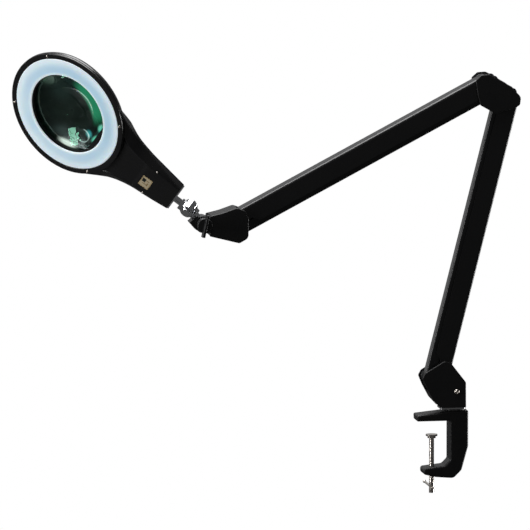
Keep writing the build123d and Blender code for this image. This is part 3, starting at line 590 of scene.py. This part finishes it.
def rear_section(x):
    """The rear shell's section across the neck: upright sides and a flat back."""
    half = follow(EDGE_HALF, x) - 0.0003
    drop = follow(EDGE_DROP, x) + LIP_DEPTH
    back = REAR_Z + follow(BACK_RISE, half)
    flare = 0.0016 + 0.008 * min(max((0.076 - x) / 0.02, 0), 1)
    flat = min(half - flare, BACK_FLAT)
    right = [(half, -drop), (half, back + flare * 0.7), (half - flare, back), (flat - 0.0002, REAR_Z)]
    inside = [(flat - 0.0006, REAR_Z + WALL), (half - flare - WALL * 0.4, back + WALL),
              (half - WALL, back + flare * 0.7 + WALL * 0.4), (half - WALL, -drop)]
    left_outside = [(-y, z) for y, z in reversed(right)]
    left_inside = [(-y, z) for y, z in reversed(inside)]
    loop = right + left_outside + left_inside + inside
    return [bent(x, y, z) for y, z in rounded(loop, 0.0008)]


def stations(low, high, count):
    """Evenly spaced distances along the neck, both ends included."""
    return [low + (high - low) * index / count for index in range(count + 1)]


gloss = Finish("satin_abs", Specular_IOR_Level=0.5)
matt = gloss.grain(2400, 2)
sweep = gloss.grain(22, 2)
gloss.colour(gloss.mix(sweep, (0.0045, 0.0045, 0.005, 1), (0.0085, 0.0085, 0.009, 1)))
gloss.roughness(0.19 + 0.07 * matt + 0.07 * sweep)
gloss.relief(matt, 0.000006)

RING_FRONT = [(82.6, -2.6), (82.6, 0), (90.35, 0), (90.35, -2.4), (88.0, -2.4), (86.0, -2.6)]
RING_REAR = [(90.4, -2.7), (90.5, -5.5), (88.5, -10.0), (82.5, -13.4), (72.0, -17.2), (66.0, -19.5),
             (60.2, -19.5), (60.2, -2.2), (62.0, -2.2), (62.0, -17.5), (65.7, -17.5), (71.3, -15.2),
             (81.8, -11.2), (86.8, -9.2), (88.4, -5.4), (88.4, -2.7)]
RING_EASE = 0.0009


def in_metres(section):
    """A section given in millimetres, in metres."""
    return [(r / 1000, z / 1000) for r, z in section]


neck_rows = stations(NECK_START, PANEL_END - PANEL_STEP, 26) + stations(PANEL_END, NECK_END, 18)
front_form = join([turned(in_metres(RING_FRONT), RING_EASE), tube_of([front_section(x) for x in neck_rows])])
head_front = finished("head_front", front_form, gloss, HEAD)
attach(head_front, "head")
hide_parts("head_front_shell")

HINGE_X = 0.068
HINGE_Z = -0.023


def lug(side):
    """One rounded ear of the rear shell, which carries the lens cover's pin."""
    y = side * 0.012
    profile = rounded([(HINGE_X - 0.0035, -0.0155), (HINGE_X - 0.0035, HINGE_Z), (HINGE_X, HINGE_Z - 0.0022),
                       (HINGE_X + 0.0035, HINGE_Z), (HINGE_X + 0.0035, -0.0155)], 0.0014)
    return tube_of([[(x, y + shift, z) for x, z in profile] for shift in (-0.002, 0.002)])


rear_form = join([turned(in_metres(RING_REAR), RING_EASE), tube_of([rear_section(x) for x in neck_rows]),
                  lug(-1), lug(1)])
head_rear = finished("head_rear", rear_form, gloss, HEAD)
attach(head_rear, "head")
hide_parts("head_rear_shell")

# ---- lens cover and buttons -----------------------------------------------
# A thin pressed lid, painted like the arms, that hinges over the back of the lens,
# and two matt buttons that stand out of the back of the neck.

dress(powder, "lens_cover")
button = Finish("button_plastic", Specular_IOR_Level=0.35)
button.colour(button.mix(button.grain(200), (0.05, 0.05, 0.052, 1), (0.075, 0.075, 0.078, 1)))
button.roughness(0.5 + 0.1 * button.grain(1500))
button.relief(button.grain(1500), 0.00004)
dress(button, "power_button", "dimmer_button")
dress(moulded, "lens_ring")

# ---- light ----------------------------------------------------------------
# A ring of frosted acrylic over two rows of chips on a white board. The middle of the band is painted bluer
# than its rims as a painted reflection, and a weak emission in the same colours is painted glow that
# brightens it.

DIFFUSER_OUT = 0.0825
DIFFUSER_IN = 0.0587

acrylic = Finish("frosted_acrylic", Subsurface_Weight=0.25, Specular_IOR_Level=0.35, Emission_Strength=0.40)
across = acrylic.along(head_axis, ring_place)
sideways = acrylic.along(side_axis, ring_place)
spread = (across * across + sideways * sideways) ** 0.5
band = (spread - DIFFUSER_IN) / (DIFFUSER_OUT - DIFFUSER_IN)
cloud = acrylic.grain(24, 2)
upward = sideways / DIFFUSER_OUT * 0.5 + 0.5
# Painted reflection: the middle of the band is bluer, more so towards one side.
painted_blue_reflection = band.step(1.0, 0.35) * band.step(0.0, 0.22) * (0.35 + 0.45 * upward + 0.5 * cloud)
milk_and_painted_reflection = acrylic.mix(painted_blue_reflection, (0.70, 0.77, 0.82, 1), (0.40, 0.56, 0.67, 1))
rim = band.step(0.055, 0.02) + band.step(0.965, 0.985)
frosting_and_painted_reflection = acrylic.mix(rim, milk_and_painted_reflection, (0.86, 0.92, 0.95, 1))
acrylic.colour(frosting_and_painted_reflection)
# Painted glow: the same colours fed in as a weak emission.
acrylic.feed(acrylic.shader.inputs["Emission Color"], frosting_and_painted_reflection)
acrylic.roughness(0.32 + 0.1 * acrylic.grain(1800, 1))
acrylic.relief(acrylic.grain(1800, 1), 0.00002)
dress(acrylic, "diffuser")

board = Finish("solder_resist")
board.colour(board.mix(board.grain(80), (0.70, 0.72, 0.70, 1), (0.82, 0.84, 0.82, 1)))
board.roughness(0.3 + 0.1 * board.grain(600))
dress(board, "led_board", "driver_board")

phosphor = Finish("phosphor_chip")
phosphor.colour(phosphor.mix(phosphor.grain(900), (0.80, 0.66, 0.20, 1), (0.86, 0.76, 0.32, 1)))
phosphor.roughness(0.4 + 0.1 * phosphor.grain(2000))
dress(phosphor, "led_chips")

part_case = Finish("component_case")
part_case.colour(part_case.mix(part_case.grain(500), (0.02, 0.02, 0.022, 1), (0.05, 0.05, 0.052, 1)))
part_case.roughness(0.45 + 0.15 * part_case.grain(1500))
dress(part_case, "driver_parts")

# ---- lenses ---------------------------------------------------------------
# Ground glass with a green tint to its gloss, and a small stronger lens bonded to it. The
# coloured shapes on the front and the small lens's rim are painted as emission, in place
# of real reflections, and don't move with the view.

LENS_MIDDLE = -0.010
BIFOCAL_REACH = 35.0
BIFOCAL_R = 11.0
BIFOCAL_TURN = math.radians(-19)
coated = Finish("coated_glass", Transmission_Weight=1.0, IOR=1.5, Specular_Tint=(0.35, 0.9, 0.6, 1),
                Emission_Strength=1.0)
lens_x = coated.along(head_axis, ring_place) * 1000
lens_y = coated.along(side_axis, ring_place) * 1000


def patch(x, y, wide, tall, turn=0.0, edge=0.5):
    """A soft oval on the lens, millimetres from its middle, turned in degrees."""
    cosine = math.cos(math.radians(turn))
    sine = math.sin(math.radians(turn))
    along = ((lens_x - x) * cosine + (lens_y - y) * sine) / wide
    beside = ((lens_y - y) * cosine - (lens_x - x) * sine) / tall
    return ((along * along + beside * beside) ** 0.5).step(1.0, edge)


# Painted reflections on the front face, as emission: a crescent, a haze, a cream patch, a veil, a teal patch
# and two mint patches.
radial = (lens_x * lens_x + lens_y * lens_y) ** 0.5
crescent = radial.step(56.5, 53.0) * (1 - patch(-9, -7, 56, 52, 0, 0.9)) * patch(14, 44, 44, 30, -35, 0.35)
painted_haze = patch(-26, 22, 34, 22, 40, 0.1)
cream = patch(22, -46, 19, 10, 24, 0.25) * radial.step(58.5, 55.0)
painted_veil = patch(8, -32, 26, 20, 40, 0.0)
teal = patch(40, -2, 9, 6, -60, 0.2)
mint = patch(51, -3, 12, 5.5, 80, 0.15) + patch(48, 18, 9, 5, 105, 0.3) * 0.7
painted_reflection_colour = coated.mix(painted_haze, (0.0, 0.0, 0.0, 1), (0.004, 0.009, 0.008, 1))
painted_reflection_colour = coated.mix(painted_veil * 0.45, painted_reflection_colour, (0.022, 0.036, 0.036, 1))
painted_reflection_colour = coated.mix(crescent * (0.35 + 0.65 * coated.grain(30, 1)), painted_reflection_colour, (0.025, 0.30, 0.14, 1))
painted_reflection_colour = coated.mix(teal, painted_reflection_colour, (0.02, 0.28, 0.28, 1))
painted_reflection_colour = coated.mix(mint, painted_reflection_colour, (0.12, 0.62, 0.42, 1))
painted_reflection_colour = coated.mix(cream, painted_reflection_colour, (0.62, 0.74, 0.66, 1))
front_face = coated.along(face_axis, ring_place).above(LENS_MIDDLE)
coated.feed(coated.shader.inputs["Emission Color"], coated.mix(front_face, (0, 0, 0, 1), painted_reflection_colour))
coated.colour((0.80, 0.93, 0.90, 1))
coated.roughness(0.008 + 0.01 * coated.grain(40))
dress(coated, "lens")

clear = Finish("clear_glass", Transmission_Weight=1.0, IOR=1.5, Emission_Strength=0.35)
small_x = clear.along(head_axis, ring_place) * 1000 - BIFOCAL_REACH * math.cos(BIFOCAL_TURN)
small_y = clear.along(side_axis, ring_place) * 1000 - BIFOCAL_REACH * math.sin(BIFOCAL_TURN)
edge_light = ((small_x * small_x + small_y * small_y) ** 0.5).step(BIFOCAL_R - 0.9, BIFOCAL_R - 0.3)
clear.feed(clear.shader.inputs["Emission Color"], clear.mix(edge_light, (0, 0, 0, 1), (0.55, 0.75, 0.70, 1)))
clear.colour((0.92, 0.98, 0.97, 1))
clear.roughness(0.006 + 0.01 * clear.grain(60))
dress(clear, "bifocal_lens")

# ---- screws ---------------------------------------------------------------
# Cross-head screws: four nickel plated in the face of the ring, two blackened in the neck
# and a larger one through each cover of the base knuckle.

HEAD_ROWS = 6
HEAD_SIDES = 32


def screw_head():
    """A domed head of radius 1 with a cross driven into it, facing local Z."""
    loops = []
    for row in range(HEAD_ROWS * 3 + 1):
        reach = 1 - row / (HEAD_ROWS * 3)
        loop = []
        for index in range(HEAD_SIDES):
            turn = 2 * math.pi * index / HEAD_SIDES
            x = max(reach, 0.02) * math.cos(turn)
            y = max(reach, 0.02) * math.sin(turn)
            arm = min(abs(x), abs(y))
            length = max(abs(x), abs(y))
            sunk = max(0.0, 1 - arm / 0.14) ** 0.4 if length < 0.62 else 0.0
            loop.append((x, y, 0.42 * (1 - reach ** 4) + 0.12 - 0.34 * sunk))
        loops.append(loop)
    skirt = [(math.cos(2 * math.pi * i / HEAD_SIDES), math.sin(2 * math.pi * i / HEAD_SIDES), -0.2)
             for i in range(HEAD_SIDES)]
    return tube_of([skirt] + loops)


head_mesh = bpy.data.meshes.new("screw_head")
screw_form = screw_head()
screw_form.to_mesh(head_mesh)
screw_form.free()
head_mesh.shade_smooth()
head_pattern = bpy.data.objects.new("screw_head", head_mesh)

screws = Recipe("screw_heads", radius=0.0019)
pattern = screws.node("GeometryNodeObjectInfo", None, {"Object": head_pattern})
placed = screws.node("GeometryNodeInstanceOnPoints", None, {
    "Points": screws.given("Geometry"), "Instance": pattern.outputs["Geometry"],
    "Scale": screws.given("radius")})
screws.close(placed.outputs[0], nickel)


def screw_set(name, node, body, places, placing, radius):
    """Screw heads at these local places, in place of a CAD node's."""
    spots = bpy.data.meshes.new(name + "_places")
    spots.from_pydata(places, [], [])
    piece = screws.grow(name, spots, placing, radius=radius)
    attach(piece, body)
    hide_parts(node)
    return piece


RIM_SCREW_R = 0.0865
RIM_SCREW_TURNS = (37, -37, 142.4, -142.4)
blackened = Finish("blackened_screw", Metallic=1.0)
blackened.colour(blackened.mix(blackened.grain(900), (0.05, 0.05, 0.052, 1), (0.12, 0.12, 0.122, 1)))
blackened.roughness(0.35 + 0.15 * blackened.grain(1800))
blackened.relief(blackened.grain(1800), 0.00001)
rim_places = [(RIM_SCREW_R * math.cos(math.radians(a)), RIM_SCREW_R * math.sin(math.radians(a)), -0.0002)
              for a in RIM_SCREW_TURNS]
screw_set("ring_screws", "rim_screws", "head", rim_places, HEAD, 0.0019)

NECK = HEAD @ Matrix.Translation((RING_TO_BEND, 0, 0)) @ Matrix.Rotation(math.radians(NECK_BEND), 4, "Y") \
    @ Matrix.Translation((-RING_TO_BEND, 0, 0))
neck_places = [(0.147, side * 0.0234, -TOP_DROP + 0.0001) for side in (-1, 1)]
neck_heads = screw_set("neck_face_screws", "neck_screws", "head", neck_places, NECK, 0.0017)
neck_heads.data.materials[0] = blackened.material

cover_low, cover_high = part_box("base_cover_screws")
screw_middle = (cover_low + cover_high) / 2
FACING_FRONT = Matrix.Rotation(math.radians(90), 4, "X")
FACING_BACK = Matrix.Rotation(math.radians(-90), 4, "X")
COVER_SCREW_R = 0.0034
cover_sides = []
for facing, y in ((FACING_FRONT, cover_low.y), (FACING_BACK, cover_high.y)):
    seat = Vector((screw_middle.x, y + 0.0014 * (1 if y < 0 else -1), screw_middle.z))
    spot = bpy.data.meshes.new("cover_screw_place")
    spot.from_pydata([(0, 0, 0)], [], [])
    placing = Matrix.Translation(seat) @ facing
    cover_sides.append(screws.grow("cover_screw", spot, placing, radius=COVER_SCREW_R))
cover_form = bmesh.new()
for piece in cover_sides:
    cover_form.from_mesh(piece.data)
    bpy.data.objects.remove(piece)
cover_screws = finished("cover_screws", cover_form, nickel, None)
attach(cover_screws, "base_knuckle")
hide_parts("base_cover_screws")

# ---- badge ----------------------------------------------------------------
# A small foil plate with a plain raised border and blocks, stuck on the neck.

BADGE_LOW = (0.1345, -0.014)
BADGE_HIGH = (0.1500, 0.005)
gold = Finish("badge_foil", Metallic=0.35, Specular_IOR_Level=0.5)
badge_x = (gold.along(neck_axis, NECK @ Vector((BADGE_LOW[0], 0, 0)))) / (BADGE_HIGH[0] - BADGE_LOW[0])
badge_y = (gold.along(side_axis, NECK @ Vector((0.14, BADGE_LOW[1], 0)))) / (BADGE_HIGH[1] - BADGE_LOW[1])


def tile(x, y, wide, tall):
    """1 inside a small block of the badge, given by its middle and size as parts of the plate."""
    return (1 - ((badge_x - x).size()).above(wide / 2)) * (1 - ((badge_y - y).size()).above(tall / 2))


foil = gold.mix(gold.grain(260, 2), (0.52, 0.38, 0.19, 1), (0.78, 0.62, 0.36, 1))
pale_tiles = tile(0.5, 0.5, 0.84, 0.86)
foil = gold.mix(pale_tiles * 0.75, foil, (0.83, 0.72, 0.50, 1))
foil = gold.mix(tile(0.27, 0.64, 0.34, 0.34), foil, (0.03, 0.035, 0.03, 1))
bars = tile(0.62, 0.70, 0.30, 0.08) + tile(0.45, 0.34, 0.40, 0.07) + tile(0.72, 0.40, 0.12, 0.30)
foil = gold.mix(bars, foil, (0.42, 0.28, 0.12, 1))
gold.colour(foil)
gold.roughness(0.34 + 0.1 * gold.grain(1200))
gold.relief(pale_tiles, 0.0001)
badge_form = tube_of([[(x, y, z) for x, y in rounded([BADGE_LOW, (BADGE_HIGH[0], BADGE_LOW[1]), BADGE_HIGH,
                                                     (BADGE_LOW[0], BADGE_HIGH[1])], 0.0006)]
                      for z in (-TOP_DROP - 0.0004, -TOP_DROP + 0.00025)])
badge = finished("foil_badge", badge_form, gold, NECK)
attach(badge, "head")
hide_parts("badge")

# ---- studio ---------------------------------------------------------------
# A softbox overhead, a strip on each side, a panel behind and a floor below. The floor and
# the world are white to the camera only, and dark to all other rays.

FLOOR_Z = CAD_BOX[0][2] - 0.45
floor_mesh = bpy.data.meshes.new("floor")
floor_mesh.from_pydata([(-3, -3, FLOOR_Z), (3, -3, FLOOR_Z), (3, 3, FLOOR_Z), (-3, 3, FLOOR_Z)], [],
                       [(0, 1, 2, 3)])
floor = shown("studio_floor", floor_mesh)
pale = Finish("pale_floor")
pale.colour(pale.mix(pale.grain(3), (0.035, 0.035, 0.035, 1), (0.045, 0.045, 0.045, 1)))
pale.roughness(0.9)
glow = pale.node("ShaderNodeEmission")
sight = Field(pale, pale.node("ShaderNodeLightPath").outputs["Is Camera Ray"])
lit = pale.node("ShaderNodeMixShader", None, {0: sight, 1: Field(pale, pale.shader.outputs[0]),
                                              2: Field(pale, glow.outputs[0])})
pale.tree.links.new(lit.outputs[0], pale.tree.nodes["Material Output"].inputs[0])
floor_mesh.materials.append(pale.material)


def softbox(name, place, target, width, height, power, tint=(1.0, 1.0, 1.0)):
    """Rectangular studio light."""
    lamp = bpy.data.lights.new(name, "AREA")
    lamp.shape = "RECTANGLE"
    lamp.size = width
    lamp.size_y = height
    lamp.energy = power
    lamp.color = tint
    holder = bpy.data.objects.new(name, lamp)
    holder.location = place
    holder.rotation_euler = (Vector(target) - Vector(place)).to_track_quat("-Z", "Y").to_euler()
    holder.visible_camera = False
    bpy.context.scene.collection.objects.link(holder)


MIDDLE = (-0.15, 0.0, 0.25)
softbox("overhead_softbox", (-0.35, 0.25, 2.0), MIDDLE, 1.8, 1.4, 80)
softbox("left_strip", (-2.2, -0.4, 0.55), MIDDLE, 0.5, 1.2, 24)
softbox("right_strip", (2.0, 0.42, -0.25), MIDDLE, 0.7, 1.2, 45)
softbox("back_panel", (-0.15, 2.5, 0.9), MIDDLE, 4.0, 2.4, 10)

world = bpy.data.worlds.new("studio")
world.use_nodes = True
tree = world.node_tree
backdrop = tree.nodes["Background"]
seen = tree.nodes.new("ShaderNodeLightPath")
level = tree.nodes.new("ShaderNodeMapRange")
level.inputs["To Min"].default_value = 0.09
level.inputs["To Max"].default_value = 1.0
tree.links.new(seen.outputs["Is Camera Ray"], level.inputs["Value"])
tree.links.new(level.outputs[0], backdrop.inputs["Strength"])
backdrop.inputs["Color"].default_value = (1, 1, 1, 1)
bpy.context.scene.world = world
bpy.context.scene.view_settings.view_transform = "Standard"

VIEW_TURN = math.radians(-10)
VIEW_RISE = math.radians(8)
VIEW_DISTANCE = 20.0
VIEW_RIGHT = -0.2266
VIEW_UP = 0.2106
VIEW_HALF = 0.3604
right = Vector((math.cos(VIEW_TURN), math.sin(VIEW_TURN), 0))
back = Vector((math.sin(VIEW_TURN) * math.cos(VIEW_RISE), -math.cos(VIEW_TURN) * math.cos(VIEW_RISE),
               math.sin(VIEW_RISE)))
up = back.cross(right)
camera = bpy.data.cameras.new("camera")
camera.angle = 2 * math.atan(VIEW_HALF / VIEW_DISTANCE)
camera.clip_end = 200
viewer = bpy.data.objects.new("camera", camera)
viewer.matrix_world = Matrix.Translation(right * VIEW_RIGHT + up * VIEW_UP + back * VIEW_DISTANCE) @ Matrix(
    (right, up, back)).transposed().to_4x4()
bpy.context.scene.collection.objects.link(viewer)
bpy.context.scene.camera = viewer
